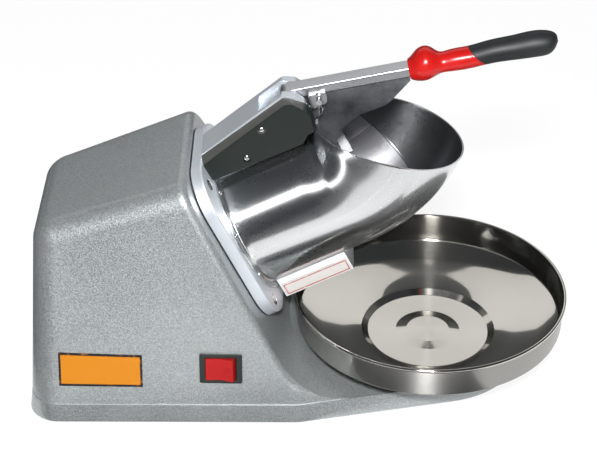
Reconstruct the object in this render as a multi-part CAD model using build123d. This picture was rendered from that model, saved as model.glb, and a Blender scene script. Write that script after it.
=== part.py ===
from build123d import *
from math import atan2, cos, degrees, hypot, pi, radians, sin, sqrt, tan
import os

# Electric counter-top ice shaver with a press lever and a catching bowl. All sizes are in millimetres.
# +Z is up, +X is forward (towards the bowl), and Y is the axis of the lever hinge.
# The origin is on the surface that the rubber feet stand on, below the centre of the machine.

# Driving dimensions
OVERALL_LENGTH = 415.0
BOWL_RADIUS = 107.0
BOWL_RIM_HEIGHT = 59.0
HALF_WIDTH = 98.5  # of the skirt, at its foot
FOOT_HEIGHT = 3.5
SKIRT_FOOT = 3.0
PLATFORM = 17.5  # top of the skirt, where the bowl stands
WALL = 3.0
TILT = 27.0  # of the hopper tube, above the horizontal
TUBE_RADIUS = 51.5
SHEET = 1.2
PLATE_THICKNESS = 9.0
GASKET = 1.0
ELBOW_RADIUS = 87.0  # from the elbow's centre to the tube's axis
ELBOW_CENTRE = (-8.8, 237.0)  # X, Z
HINGE = (-8.8, 229.5)  # X, Z
LEVER_TILT = 12.1  # of the lever bar in the pressing pose
PUSHER_ANGLE = -62.0  # of the pusher plate in the pressing pose, where it is nearly parallel to the disc

REAR_X = -OVERALL_LENGTH / 2
BOWL_X = OVERALL_LENGTH / 2 - BOWL_RADIUS
BASE = (Align.CENTER, Align.CENTER, Align.MIN)
EPS = 0.01

# The hopper tube's own frame: z along its axis, x down and forward, starting at the front plate's face
AXIS = Vector(cos(radians(TILT)), 0, sin(radians(TILT)))
DROP = Vector(sin(radians(TILT)), 0, -cos(radians(TILT)))
HINGE_REACH = 80.5  # from the front plate to the elbow's centre, along the tube
TUBE_ORIGIN = Vector(ELBOW_CENTRE[0], 0, ELBOW_CENTRE[1]) - AXIS * HINGE_REACH + DROP * ELBOW_RADIUS
TUBE = Plane(origin=TUBE_ORIGIN, x_dir=DROP, z_dir=AXIS)
MOUTH_TILT = 13.6  # of the hopper's open mouth, down to the front
MOUTH_DEPTH = 17.0  # of the mouth below the elbow's centre


def outline(corners):
    """A face from (u, v, corner radius) triples."""
    points = [(u, v) for u, v, _ in corners]
    radii = [r for *_, r in corners]
    if any(radii):
        return make_face(FilletPolyline(*points, radius=radii, close=True))
    return make_face(Polyline(*points, close=True))


def side_slab(corners, y_near, y_far):
    """An outline in X and Z, given thickness from y_near to y_far."""
    plane = Plane(origin=(0, y_far, 0), x_dir=(1, 0, 0), z_dir=(0, -1, 0))
    return extrude(plane * outline(corners), amount=y_far - y_near, dir=(0, -1, 0))


def tube_point(drop, along, y=0.0):
    return TUBE_ORIGIN + DROP * drop + AXIS * along + Vector(0, y, 0)


def drum(radius, low, high, bore=0.0):
    """A round piece on the z axis between two heights, with a bore if asked for."""
    body = Pos(0, 0, low) * Cylinder(radius, high - low, align=BASE)
    if bore:
        body -= Pos(0, 0, low - 1) * Cylinder(bore, high - low + 2, align=BASE)
    return body


def on_tube(shape):
    return TUBE * shape


def y_pin(x, z, radius, y_near, y_far):
    """A round piece along Y."""
    plane = Plane(origin=(x, y_far, z), x_dir=(1, 0, 0), z_dir=(0, -1, 0))
    return plane * drum(radius, 0, y_far - y_near)


def mirrored(shape):
    return mirror(shape, about=Plane.XZ)


def group(shapes):
    return Compound(children=list(shapes))


# Housing block

BODY_REAR = 2.0  # the block stands this far inside the skirt's rear edge
BODY_HALF_WIDTH = 95.5
TOP_REAR = (REAR_X + 8.0, 145.0, 54.0)  # X, Z and half width where the sloping top begins
TOP_SLOPE = 0.374
TOP_SPREAD = 0.093  # growth of the top's half width along X
BLOCK_FRONT = 60.0
BLOCK_SWEEP = 60.0  # radius where the body's front runs out on the platform
TAPER_START = -2.0
SKIRT_LEAN = 12.2  # of the sides, ahead of the taper's start
TAPER_DRAFT = 9.0
TOP_ROUND = 19.0
CORNER_ROUND = 22.0
FRONT_ROUND = 6.0  # round the sloping front face


def block_corners(inset):
    """Bottom and top corner points of the block at its rear and front, on the far side."""
    floor = PLATFORM - (inset > 0) * WALL
    rise = TOP_SLOPE * (BLOCK_FRONT - TOP_REAR[0])
    spread = TOP_SPREAD * (BLOCK_FRONT - TOP_REAR[0])
    lift = inset / cos(atan2(TOP_SLOPE, 1))
    bottom = [
        (REAR_X + BODY_REAR + inset, BODY_HALF_WIDTH - inset, floor),
        (BLOCK_FRONT, BODY_HALF_WIDTH - inset, floor),
    ]
    top = [
        (TOP_REAR[0] + inset, TOP_REAR[2] - inset, TOP_REAR[1] - lift),
        (BLOCK_FRONT, TOP_REAR[2] + spread - inset, TOP_REAR[1] + rise - lift),
    ]
    return bottom, top


def four_sided(edge):
    (x0, y0, z0), (x1, y1, z1) = edge
    return make_face(Polyline((x0, -y0, z0), (x1, -y1, z1), (x1, y1, z1), (x0, y0, z0), close=True))


def front_room(inset):
    """All that lies in front of the body: above the platform and ahead of the tilted front face."""
    along = -PLATE_THICKNESS - GASKET - inset
    level = PLATFORM - (inset > 0) * WALL
    high = tube_point(-160, along)
    drop = (TUBE_ORIGIN.Z + AXIS.Z * along - level) / -DROP.Z
    low = tube_point(drop, along)
    corners = [(high.X, high.Z, 0), (low.X, low.Z, BLOCK_SWEEP + inset), (300, low.Z, 0), (300, high.Z, 0)]
    return side_slab(corners, -150, 150)


def bowl_room(gap):
    """The scoop that the body's front leaves round the bowl."""
    inner, outer = 62 + gap, 110.5 + gap
    foot = PLATFORM - gap
    lip = 35.5 - gap
    face = make_face(Polyline((0, foot), (inner, foot), (outer, lip), (outer, 130), (0, 130), close=True))
    return Pos(BOWL_X, 0, 0) * revolve(Plane.XZ * face, axis=Axis.Z)


def taper_room(inset):
    """All that lies outside the block where its sides follow the skirt's taper."""
    lean, draft = radians(SKIRT_LEAN), radians(TAPER_DRAFT)
    normal = (sin(lean) * cos(draft), -cos(lean) * cos(draft), sin(draft))
    plane = Plane(origin=(TAPER_START, -BODY_HALF_WIDTH, PLATFORM), x_dir=(cos(lean), sin(lean), 0), z_dir=normal)
    room = plane * (Pos(0, 0, -inset) * Box(400, 400, 100, align=BASE))
    return room + mirrored(room)


def block(inset=0.0):
    """The drafted body of the housing, or the space inside its walls."""
    bottom, top = block_corners(inset)
    body = loft([four_sided(bottom), four_sided(top)], ruled=True)
    rear = [e for e in body.edges() if e.center().X < REAR_X + 30 and abs(e.center().Y) > 20]
    upright = [e for e in rear if e.bounding_box().size.Z > 50]
    body = fillet(upright, CORNER_ROUND - inset)
    crown = [e for e in body.edges() if e.center().Z > TOP_REAR[1] - 15 and e.center().X < BLOCK_FRONT - 1]
    crown = [e for e in crown if not (e.bounding_box().size.Z > 100)]
    body = fillet(crown, TOP_ROUND - inset) - front_room(inset)
    if not inset:
        face = body.faces().filter_by(lambda f: f.normal_at().dot(AXIS) > 0.999).sort_by(Axis.Z)[-1]
        body = fillet([e for e in face.edges() if e.center().Z > 60], FRONT_ROUND)
    return body - bowl_room(inset) - taper_room(inset)


def skirt_plan(inset=0.0):
    """The base's outline: straight sides, a taper forward, and a round nose about the bowl's centre."""
    nose = 74.5 - inset
    half = HALF_WIDTH - inset
    start = TAPER_START
    lean = radians(SKIRT_LEAN)
    meet = (BOWL_X + nose * sin(lean), nose * cos(lean))
    corners = [
        (REAR_X + inset, -half, 24 - inset),
        (start, -half, 30),
        (meet[0], -meet[1], 0),
        (meet[0], meet[1], 0),
        (start, half, 30),
        (REAR_X + inset, half, 24 - inset),
    ]
    return outline(corners) + Pos(BOWL_X, 0) * Circle(nose)


def wall_point(x, z):
    """Where the near wall of the body stands at a given X and Z, and its outward normal."""
    (b0, b1), (t0, t1) = block_corners(0)
    t, s = 0.5, 0.2
    for _ in range(20):
        low = Vector(*b0) + (Vector(*b1) - Vector(*b0)) * t
        high = Vector(*t0) + (Vector(*t1) - Vector(*t0)) * t
        s = (z - low.Z) / (high.Z - low.Z)
        here = low + (high - low) * s
        t += (x - here.X) / (b1[0] - b0[0])
    along = (Vector(*b1) - Vector(*b0)) * (1 - s) + (Vector(*t1) - Vector(*t0)) * s
    normal = (high - low).cross(along).normalized()
    normal = normal if normal.Y > 0 else normal * -1
    return Vector(here.X, -here.Y, here.Z), Vector(normal.X, -normal.Y, normal.Z)


def wall_plane(x, z):
    """A plane on the near wall: x along the machine, y up the wall, z outward."""
    point, normal = wall_point(x, z)
    along = Vector(1, 0, 0)
    flat = (along - normal * along.dot(normal)).normalized()
    return Plane(origin=point, x_dir=flat, z_dir=normal)


SWITCH = wall_plane(-60.0, 48.5)
SWITCH_SIZE = (32.0, 24.0)
INLET_HEIGHT = 46.0
INLET_RADIUS = 6.5
BOSSES = [(-165, 89), (-20, 89), (88, 62)]
BOWL_SEAT = (57.0, 1.0)  # radius and depth of the recess that the bowl stands in
MOTOR_HOLE = 47.0


def both_sides(spots):
    return [(x, side * y) for x, y in spots for side in (-1, 1)]


def housing_shell():
    skirt = extrude(Pos(0, 0, SKIRT_FOOT) * skirt_plan(), amount=PLATFORM - SKIRT_FOOT, taper=8)
    hollow = extrude(Pos(0, 0, SKIRT_FOOT) * skirt_plan(WALL + 1.5), amount=PLATFORM - SKIRT_FOOT - WALL)
    shell = skirt + block()
    shell -= hollow
    shell -= block(WALL)
    seat_radius, seat_depth = BOWL_SEAT
    shell -= Pos(BOWL_X, 0, PLATFORM - seat_depth) * Cylinder(seat_radius, 5, align=BASE)
    shell -= on_tube(drum(MOTOR_HOLE, -PLATE_THICKNESS - GASKET - 2 * WALL, 0))
    shell -= SWITCH * Box(SWITCH_SIZE[0] - 4, SWITCH_SIZE[1] - 3, 20)
    inlet = Plane(origin=(REAR_X - 5, 0, INLET_HEIGHT), x_dir=(0, 1, 0), z_dir=(1, 0, 0))
    shell -= inlet * drum(INLET_RADIUS, 0, 30)
    for x, y in both_sides(BOSSES):
        post = Pos(x, y, 5) * (drum(6, 0, PLATFORM - WALL - 5 + EPS) - drum(2, -1, 8))
        shell += post
    return shell


def base_plate():
    plate = extrude(Pos(0, 0, FOOT_HEIGHT) * skirt_plan(WALL + 1.7), amount=1.5)
    for x, y in both_sides(BOSSES):
        plate -= Pos(x, y, 0) * drum(2.2, 0, 10)
    for row in range(5):
        for side in (-1, 1):
            slot = Pos(-150 + 14 * row, side * 30, 0) * extrude(SlotOverall(40, 5, rotation=90), amount=10)
            plate -= slot
    return plate


FEET = [(-175, 66), (95, 40)]


def rubber_feet():
    return group(Pos(x, y, 0) * fillet(drum(11, 0, FOOT_HEIGHT).edges().sort_by(Axis.Z)[:1], 1) for x, y in both_sides(FEET))


def base_screws():
    screw = drum(4, FOOT_HEIGHT - 1.8, FOOT_HEIGHT) + drum(1.9, FOOT_HEIGHT, 12)
    return group(Pos(x, y, 0) * screw for x, y in both_sides(BOSSES))


# Front plate with the spindle's bearing boss

PLATE_TOP = -72.0
PLATE_FOOT = 60.0
PLATE_SCREWS = [(-58, 34), (46, 49), (-8, 52)]
BOSS_RADIUS = 17.0
BOSS_END = 50.0
SPINDLE = 7.5
RUNNING = 0.04  # radial clearance of the spindle in its bearings


def plate_outline():
    return outline([(PLATE_TOP, -55, 32), (PLATE_FOOT, -66, 27), (PLATE_FOOT, 66, 27), (PLATE_TOP, 55, 32)])


def front_plate():
    plate = extrude(Pos(0, 0, -PLATE_THICKNESS) * plate_outline(), amount=PLATE_THICKNESS)
    plate = fillet(plate.faces().sort_by(Axis.Z)[-1].edges(), 1.5)
    plate += drum(BOSS_RADIUS, -1, BOSS_END)
    plate -= drum(14, -PLATE_THICKNESS - 1, BOSS_END - 12)
    plate -= drum(13, BOSS_END - 12, BOSS_END + 1)
    for x, y in both_sides(PLATE_SCREWS):
        plate -= Pos(x, y) * (drum(2.7, -20, 5) + drum(4.6, -3.2, 5))
    return on_tube(plate)


def plate_gasket():
    low = -PLATE_THICKNESS - GASKET
    ring = extrude(Pos(0, 0, low) * plate_outline(), amount=GASKET) - drum(MOTOR_HOLE, low - 1, 0)
    for x, y in both_sides(PLATE_SCREWS):
        ring -= Pos(x, y) * drum(2.7, -20, 5)
    return on_tube(ring)


def plate_screws():
    head = drum(4.4, -3.2, -0.2) - Pos(0, 0, -1.4) * extrude(RegularPolygon(2.3, 6), amount=3)
    screw = head + drum(2.3, -PLATE_THICKNESS - GASKET, -3.2)
    return group(on_tube(Pos(x, y) * screw) for x, y in both_sides(PLATE_SCREWS))


# Hopper: a straight tube, a short change of section, and an elbow that is open at the top

BLADE_ROOM = 66.0  # the tube is round up to here
ELBOW_TOP = 61.0  # reach of the elbow's section towards its centre
ELBOW_POWER = 2.6
OUTLET = (8.0, 58.0, 22.0)  # start, end and half width of the discharge opening
FLANGE_RADIUS = TUBE_RADIUS + 5.5
FLANGE_THICKNESS = 1.5
HOPPER_SCREWS = [70, 110, -70, -110, 148, -148]


def tube_section(inset, reach, power):
    """Half a circle on the outer side, and a squarer half towards the elbow's centre."""
    radius = TUBE_RADIUS - inset
    top = reach - inset
    steps = 10
    curve = []
    for i in range(steps + 1):
        turn = pi / 2 * i / steps
        curve.append((-top * sin(turn) ** (2 / power), radius * cos(turn) ** (2 / power)))
    curve += [(x, -y) for x, y in curve[-2::-1]]
    back = Spline(*curve, tangents=[(-1, 0), (1, 0)])
    front = CenterArc((0, 0), radius, -90, 180)
    return make_face([back, front])


def hopper_solid(inset):
    round_end = HINGE_REACH - 14.5
    tube = extrude(tube_section(inset, TUBE_RADIUS, 2.0), amount=round_end)
    wide = Pos(0, 0, HINGE_REACH) * tube_section(inset, ELBOW_TOP, ELBOW_POWER)
    change = loft([Pos(0, 0, round_end) * tube_section(inset, TUBE_RADIUS, 2.0), wide], ruled=True)
    bend = Axis((-ELBOW_RADIUS, 0, HINGE_REACH), (0, -1, 0))
    elbow = revolve(wide, axis=bend, revolution_arc=78)
    return tube, change, elbow


def mouth_room():
    """Everything above the plane that the hopper's mouth is cut along."""
    slope = radians(MOUTH_TILT)
    normal = Vector(sin(slope), 0, cos(slope))
    centre = Vector(ELBOW_CENTRE[0], 0, ELBOW_CENTRE[1])
    plane = Plane(origin=centre - normal * MOUTH_DEPTH, x_dir=(cos(slope), 0, -sin(slope)), z_dir=normal)
    box = Box(400, 200, 200, align=BASE)
    return plane * (Pos(180, 0, 0) * box)


def hopper_shell():
    outer = hopper_solid(0)
    inner = hopper_solid(SHEET)
    flange = drum(FLANGE_RADIUS, 0, FLANGE_THICKNESS)
    shell = (outer[0] + flange + outer[1] + outer[2]) - (inner[0] + inner[1] + inner[2])
    start, end, half = OUTLET
    shell -= Pos(30, 0, start) * Box(60, 2 * half, end - start, align=(Align.MIN, Align.CENTER, Align.MIN))
    for angle in HOPPER_SCREWS:
        shell -= Rot(0, 0, angle) * Pos(TUBE_RADIUS + 3, 0) * drum(1.7, -1, 3)
    return on_tube(shell) - mouth_room()


def hopper_screws():
    screw = drum(2.4, FLANGE_THICKNESS, FLANGE_THICKNESS + 1.5) + drum(1.5, 0, FLANGE_THICKNESS)
    return group(on_tube(Rot(0, 0, a) * Pos(TUBE_RADIUS + 3, 0) * screw) for a in HOPPER_SCREWS)


# Discharge guard: a bent sheet wall round the outlet, with a bare plate on its near side

GUARD_HALF = 28.0
GUARD_FOOT = 61.0
GUARD_START = 2.0
GUARD_END = 60.0


def discharge_guard():
    low = (Align.MIN, Align.CENTER, Align.MIN)
    length = GUARD_END - GUARD_START
    guard = Pos(30, 0, GUARD_START) * Box(GUARD_FOOT - 30, 2 * GUARD_HALF, length, align=low)
    guard -= Pos(29, 0, 0) * Box(GUARD_FOOT, 2 * GUARD_HALF - 3, GUARD_END - 1.5, align=low)
    guard -= drum(TUBE_RADIUS + 0.05, -5, GUARD_END + 5)
    return on_tube(guard)


def guard_label():
    plate = Box(11, 0.5, GUARD_END - GUARD_START - 3, align=(Align.CENTER, Align.MAX, Align.MIN))
    return on_tube(Pos(54.8, -GUARD_HALF, GUARD_START + 1.5) * plate)


def side_label():
    """A thin bare plate that lies on the near wall and follows it."""
    skin = block(-0.5) - block()
    tall = Pos(-150.5, -85, 44.8) * Box(63, 60, 25.5)
    return skin & tall


# Hinge bracket with a moulded cover on its near side

HINGE_PIN = 4.0
EAR = (8.0, 15.0)
COVER_FACE_Y = 24.0
COVER_FACE = [
    (-66.5, 171.3, 3),
    (-73.5, 183.6, 2),
    (-9.5, 238.2, 9),
    (5.5, 228.5, 9),
    (9.2, 213.5, 4),
    (1.9, 204.0, 5),
]
COVER_BACK = [
    (-66.5, 167.5, 3),
    (-76.0, 186.6, 2),
    (-12.8, 237.9, 5),
    (5.0, 232.0, 8),
    (11.5, 214.5, 4),
    (3.0, 200.0, 5),
]
COVER_ROOM = [
    (-63.5, 174.5, 2),
    (-69.5, 183.5, 2),
    (-9.8, 234.2, 6),
    (2.8, 226.4, 6),
    (5.6, 214.5, 2),
    (0.2, 207.6, 3),
]
COVER_SCREWS = [(-29.3, 214.5), (-40.4, 190.5)]
POCKET = (-32.0, -15.0, -12.0, 10.0)  # rear and front in X, near and far in Y
BRACKET_TOP = [(-77.5, 186.2), (-14.5, 238.8)]


def above_tube(gap):
    """The room that the bracket and its cover leave for the hopper and the front plate."""
    tube, change, elbow = hopper_solid(-gap)
    flange = drum(FLANGE_RADIUS + 0.2, -1, FLANGE_THICKNESS + 0.2)
    plate = Pos(0, 0, -40) * Box(300, 300, 40, align=BASE)
    room = tube + change + flange + plate + elbow
    for angle in HOPPER_SCREWS:
        room += Rot(0, 0, angle) * Pos(TUBE_RADIUS + 3, 0) * drum(2.8, 1, 3.4)
    return on_tube(room)


def bracket_top(x):
    (x0, z0), (x1, z1) = BRACKET_TOP
    return z0 + (z1 - z0) * (x - x0) / (x1 - x0)


def hinge_bracket():
    corners = [
        (-64, 160, 0),
        (*BRACKET_TOP[0], 0),
        (*BRACKET_TOP[1], 5),
        (-5.0, 238.2, 4),
        (3.0, 232.5, 5),
        (2.8, 216, 8),
        (-12, 190, 0),
    ]
    body = side_slab(corners, -EAR[1], EAR[1])
    body -= Pos(-19.5, 0, 216) * Box(60, 2 * EAR[0], 60, align=(Align.MIN, Align.CENTER, Align.MIN))
    rear, front, near, far = POCKET
    floor = [(x, bracket_top(x) - 5.0, 0) for x in (rear, front)]
    body -= side_slab([(rear, 270, 0), *floor, (front, 270, 0)], near, far)
    body -= y_pin(*HINGE, HINGE_PIN, -30, 30)
    for x, z in COVER_SCREWS:
        body -= y_pin(x, z, 1.6, -30, -9)
    return body - above_tube(0.05)


def cover_near():
    """A moulded shell over the bracket's side, with a flat face and leaning edges."""
    sketches = [(COVER_BACK, EAR[1] + 0.1), (COVER_FACE, COVER_FACE_Y)]
    planes = [Plane(origin=(0, -y, 0), x_dir=(1, 0, 0), z_dir=(0, -1, 0)) for _, y in sketches]
    cover = loft([plane * outline(corners) for plane, (corners, _) in zip(planes, sketches)], ruled=True)
    cover -= side_slab(COVER_ROOM, -COVER_FACE_Y + 2.2, -10)
    for x, z in COVER_SCREWS:
        cover += y_pin(x, z, 4.4, -COVER_FACE_Y + 1, -EAR[1] - 0.1)
        cover -= y_pin(x, z, 1.8, -30, -10) + y_pin(x, z, 3.2, -30, -COVER_FACE_Y + 1.6)
    cover -= y_pin(*HINGE, HINGE_PIN + 2.3, -19, -10)
    return cover - above_tube(0.3)


def cover_screws():
    seat = -COVER_FACE_Y + 1.6
    return group(y_pin(x, z, 2.7, seat - 1.2, seat) + y_pin(x, z, 1.5, seat, -9.2) for x, z in COVER_SCREWS)


def hinge_pin():
    pin = y_pin(*HINGE, HINGE_PIN - EPS, -EAR[1], EAR[1])
    clips = y_pin(*HINGE, HINGE_PIN + 1.8, EAR[1], EAR[1] + 1.2)
    return pin + clips + mirrored(clips)


def interlock_switch():
    """The small snap switch inside the near cover that stops the motor when the lever is lifted."""
    place = Pos(-15, -18.4, 212) * Rot(0, -41, 0)
    return place * (Box(14, 5.6, 7) + Pos(3, 0, 4) * Box(2, 3, 2))


# Motor, carried behind the front plate

MOTOR_RADIUS = 44.0
CAN_END = -100.0
STATOR = (-78.0, -42.0)
FRONT_CAP = -23.0


def motor_front_cap():
    low = -PLATE_THICKNESS
    cap = drum(MOTOR_RADIUS, FRONT_CAP, low) - drum(36, FRONT_CAP - 1, low - 8)
    cap -= drum(16, low - 8, low + 1)
    return on_tube(cap)


def motor_can():
    return on_tube(drum(MOTOR_RADIUS, CAN_END, FRONT_CAP, MOTOR_RADIUS - 2))


def motor_rear_cap():
    cap = drum(MOTOR_RADIUS, CAN_END - 12, CAN_END) - drum(16, CAN_END - 9, CAN_END + 1)
    cap -= drum(SPINDLE + 1, CAN_END - 13, CAN_END)
    return on_tube(cap)


def stator_core():
    core = drum(MOTOR_RADIUS - 2, *STATOR, 25)
    for i in range(12):
        core -= Rot(0, 0, 30 * i) * Pos(31, 0, STATOR[0] - 1) * Box(9, 5, STATOR[1] - STATOR[0] + 2, align=BASE)
    return on_tube(core)


def stator_windings():
    front = drum(38, STATOR[1], STATOR[1] + 11, 26)
    back = drum(38, STATOR[0] - 11, STATOR[0], 26)
    return group([on_tube(front), on_tube(back)])


def bearing(low, high):
    outer = drum(16, low, high, 12.5)
    inner = drum(9.5, low, high, SPINDLE + RUNNING)
    cage = drum(12.5, low + 1.5, high - 1.5, 9.5)
    return outer + inner + cage


def front_bearing():
    return on_tube(bearing(-PLATE_THICKNESS - 8, -PLATE_THICKNESS + 0))


def rear_bearing():
    return on_tube(bearing(CAN_END - 9, CAN_END))


def nose_bush():
    """The bronze bush that carries the spindle just behind the blade disc."""
    return on_tube(drum(13, BOSS_END - 12, BOSS_END, SPINDLE + RUNNING) + drum(15, BOSS_END, BOSS_END + 1.5, SPINDLE + RUNNING))


# Spindle: shaft, rotor, fan, blade disc with its blades, screws and nut

DISC = (62.0, 66.0)
DISC_RADIUS = 48.5
BLADE_COUNT = 3


def spindle_shaft():
    shaft = drum(SPINDLE, -118, DISC[0]) + drum(5, DISC[0], 76)
    collar = drum(10, CAN_END + 1, CAN_END + 6) + drum(10, -PLATE_THICKNESS - 14, -PLATE_THICKNESS - 9)
    return on_tube(shaft + collar)


def rotor_core():
    core = drum(24.4, *STATOR, SPINDLE)
    for i in range(16):
        core -= Rot(0, 0, 22.5 * i) * Pos(21, 0, STATOR[0] - 1) * Cylinder(1.6, STATOR[1] - STATOR[0] + 2, align=BASE)
    return on_tube(core)


def cooling_fan():
    fan = drum(12, -126, -114, SPINDLE) + drum(36, -117, -115.5, SPINDLE)
    for i in range(8):
        fan += Rot(0, 0, 45 * i) * Pos(22, 0, -126) * Rot(0, 0, 20) * Box(24, 1.5, 9.5, align=BASE)
    return on_tube(fan)


def blade_slot(low, high, long, wide):
    return Pos(28, 0, low) * Box(long, wide, high - low, align=BASE)


def blade_disc():
    disc = drum(DISC_RADIUS, *DISC, 5 + EPS)
    for i in range(BLADE_COUNT):
        turn = Rot(0, 0, 360 / BLADE_COUNT * i)
        disc -= turn * Pos(0, -4.5, 0) * blade_slot(DISC[0] - 1, DISC[1] + 1, 32, 5)
        disc -= turn * Pos(0, 5, 0) * blade_slot(DISC[1] - 1.2, DISC[1] + 1, 33, 14)
    return on_tube(disc)


def shaving_blades():
    """Ground steel blades, each flat in its seat, with the edge over the slot in the disc."""
    edge = [(-3.6, 0.6), (12, -1.2), (12, 0.9), (-2.6, 1.3)]
    blade = extrude(Plane.YZ * make_face(Polyline(*edge, close=True)), amount=30)
    blade = Pos(13, 0, DISC[1]) * blade - Pos(0, 5, DISC[1] - 3) * Box(200, 14, 1.8, align=BASE)
    for x in (20, 36):
        blade -= Pos(x, 7, 0) * drum(1.6, 50, 80)
    return group(on_tube(Rot(0, 0, 360 / BLADE_COUNT * i) * blade) for i in range(BLADE_COUNT))


def blade_screws():
    screw = drum(3, DISC[1] + 1.2, DISC[1] + 2.6) + drum(1.5, DISC[1] - 1.2, DISC[1] + 1.2)
    rows = [(x, i) for i in range(BLADE_COUNT) for x in (20, 36)]
    return group(on_tube(Rot(0, 0, 360 / BLADE_COUNT * i) * Pos(x, 7) * screw) for x, i in rows)


def disc_nut():
    nut = Pos(0, 0, DISC[1]) * extrude(RegularPolygon(9, 6), amount=7) - drum(5, 50, 90)
    cap = drum(7.5, DISC[1] + 7, DISC[1] + 9.5, 5)
    return on_tube(nut + cap)


# Lever: bar on the hinge, web and pusher plate below it, grip at its end. u runs along the bar.

BAR = (1.5, 9.0)  # bottom and top of the bar over the hinge line
BAR_HALF = 6.7
BAR_END = 182.0
KNUCKLE = 9.0
LEVER = Plane(
    origin=(HINGE[0], 0, HINGE[1]),
    x_dir=(cos(radians(LEVER_TILT)), 0, sin(radians(LEVER_TILT))),
    z_dir=(0, -1, 0),
)
LINK_PIN = (12.5, 233.5)
WEB = (-4.6, -1.6)


def lever_slab(corners, y_near, y_far):
    return Pos(0, y_far, 0) * (LEVER * extrude(outline(corners), amount=y_far - y_near))


def lever_bar():
    bar = lever_slab([(-1, BAR[0], 0), (-1, BAR[1], 0), (BAR_END, BAR[1], 0), (BAR_END, BAR[0], 0)], -BAR_HALF, BAR_HALF)
    top = [e for e in bar.edges() if e.bounding_box().size.X > 100]
    bar = fillet(top, 1.2)
    bar += y_pin(*HINGE, KNUCKLE, -EAR[0] + 0.4, EAR[0] - 0.4)
    bar -= y_pin(*HINGE, HINGE_PIN + 0.05, -20, 20)
    return bar - y_pin(*LINK_PIN, 2.2, -20, 20)


LIP_ROOM = 24.6  # the web keeps this far from the hinge where it passes the hopper's inner lip
WEB_EDGE = [
    (25.7, 189.5, 0),
    (27.6, 202.5, 18),
    (40.5, 216.5, 20),
    (62.5, 225.5, 20),
    (83.5, 251.5, 3),
    (80, 258, 0),
]


def pusher_direction(angle=PUSHER_ANGLE):
    return Vector(cos(radians(angle)), 0, sin(radians(angle)))


def pusher_web():
    """The flat plate under the bar that carries the pusher plate."""
    spots = [(14, -18), (LIP_ROOM, -22), (LIP_ROOM + 0.6, -36), (LIP_ROOM + 0.6, -49)]
    spots += [(LIP_ROOM, PUSHER_ANGLE), (67, PUSHER_ANGLE)]
    spots = [Vector(HINGE[0], 0, HINGE[1]) + pusher_direction(angle) * reach for reach, angle in spots]
    corners = [(spot.X, spot.Z, 0) for spot in spots] + WEB_EDGE[1:] + [(-4, 237, 0)]
    web = side_slab(corners, *WEB)
    above = lever_slab([(-40, BAR[0], 0), (-40, 80, 0), (250, 80, 0), (250, BAR[0], 0)], -20, 20)
    ahead = lever_slab([(GRIP[0][0] - 0.4, -60, 0), (GRIP[0][0] - 0.4, 80, 0), (250, 80, 0), (250, -60, 0)], -20, 20)
    web = web - above - ahead - pusher_plate() - y_pin(*HINGE, KNUCKLE + 0.05, -20, 20)
    return web - y_pin(*LINK_PIN, 2.2, -20, 20)


PUSHER = Plane(
    origin=(HINGE[0], 0, HINGE[1]),
    x_dir=tuple(pusher_direction()),
    z_dir=tuple(Vector(0, -1, 0).cross(pusher_direction()) * -1),
)
PUSHER_START = 27.0
PUSHER_REACH = 129.0
PUSHER_HALF = 45.5


def pusher_plate():
    """The pressed plate that fills the hopper's section, with a low flange round its upper edge."""
    start, sheet = PUSHER_START, 2
    near = [(start, -PUSHER_HALF, 34), (PUSHER_REACH, -PUSHER_HALF, 44.5)]
    face = outline(near + [(x, -y, r) for x, y, r in near[::-1]])
    near = [(start + sheet, -PUSHER_HALF + sheet, 32), (PUSHER_REACH - sheet, -PUSHER_HALF + sheet, 42.5)]
    inner = near + [(x, -y, r) for x, y, r in near[::-1]]
    up = PUSHER.z_dir.Z > 0
    lift = 1 if up else -1
    plate = PUSHER * extrude(face, amount=sheet * lift)
    rim = extrude(face - outline(inner), amount=9 * lift)
    rim &= Pos(start, 0, 0) * Box(59, 200, 30, align=(Align.MIN, Align.CENTER, Align.CENTER))
    plate += PUSHER * rim
    return plate


def hinge_lug():
    """A small doubling plate on the near side of the bar, held by the link pin."""
    corners = [(4.2, 235, 1), (17.5, 238.6, 2), (18.5, 229.5, 3), (7.5, 224, 2)]
    lug = side_slab(corners, -BAR_HALF - 2.6, -BAR_HALF)
    return lug - y_pin(*LINK_PIN, 2.2, -20, 20)


def link_pin():
    pin = y_pin(*LINK_PIN, 2.2 - EPS, -16, 8.5) + y_pin(*LINK_PIN, 3.6, BAR_HALF, 8.5)
    return pin - Pos(LINK_PIN[0], -13.5, LINK_PIN[1]) * Cylinder(0.9, 20)


def split_pin():
    """Bent from one half-round wire: an eye on top, and two legs below the link pin."""
    x, z = LINK_PIN[0], LINK_PIN[1]
    eye = Pos(x, -13.5, z + 4.6) * Rot(90, 0, 0) * Torus(2.0, 0.75)
    leg = Pos(x, -13.5, z - 14) * Cylinder(0.85, 16.8, align=BASE)
    bow = Spline((x + 0.3, -13.5, z - 3), (x + 2.6, -13.5, z - 7), (x + 1.2, -13.5, z - 11))
    bent = sweep(Plane(origin=bow @ 0, z_dir=bow % 0) * Circle(0.6), path=bow)
    return eye + leg + bent


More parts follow.
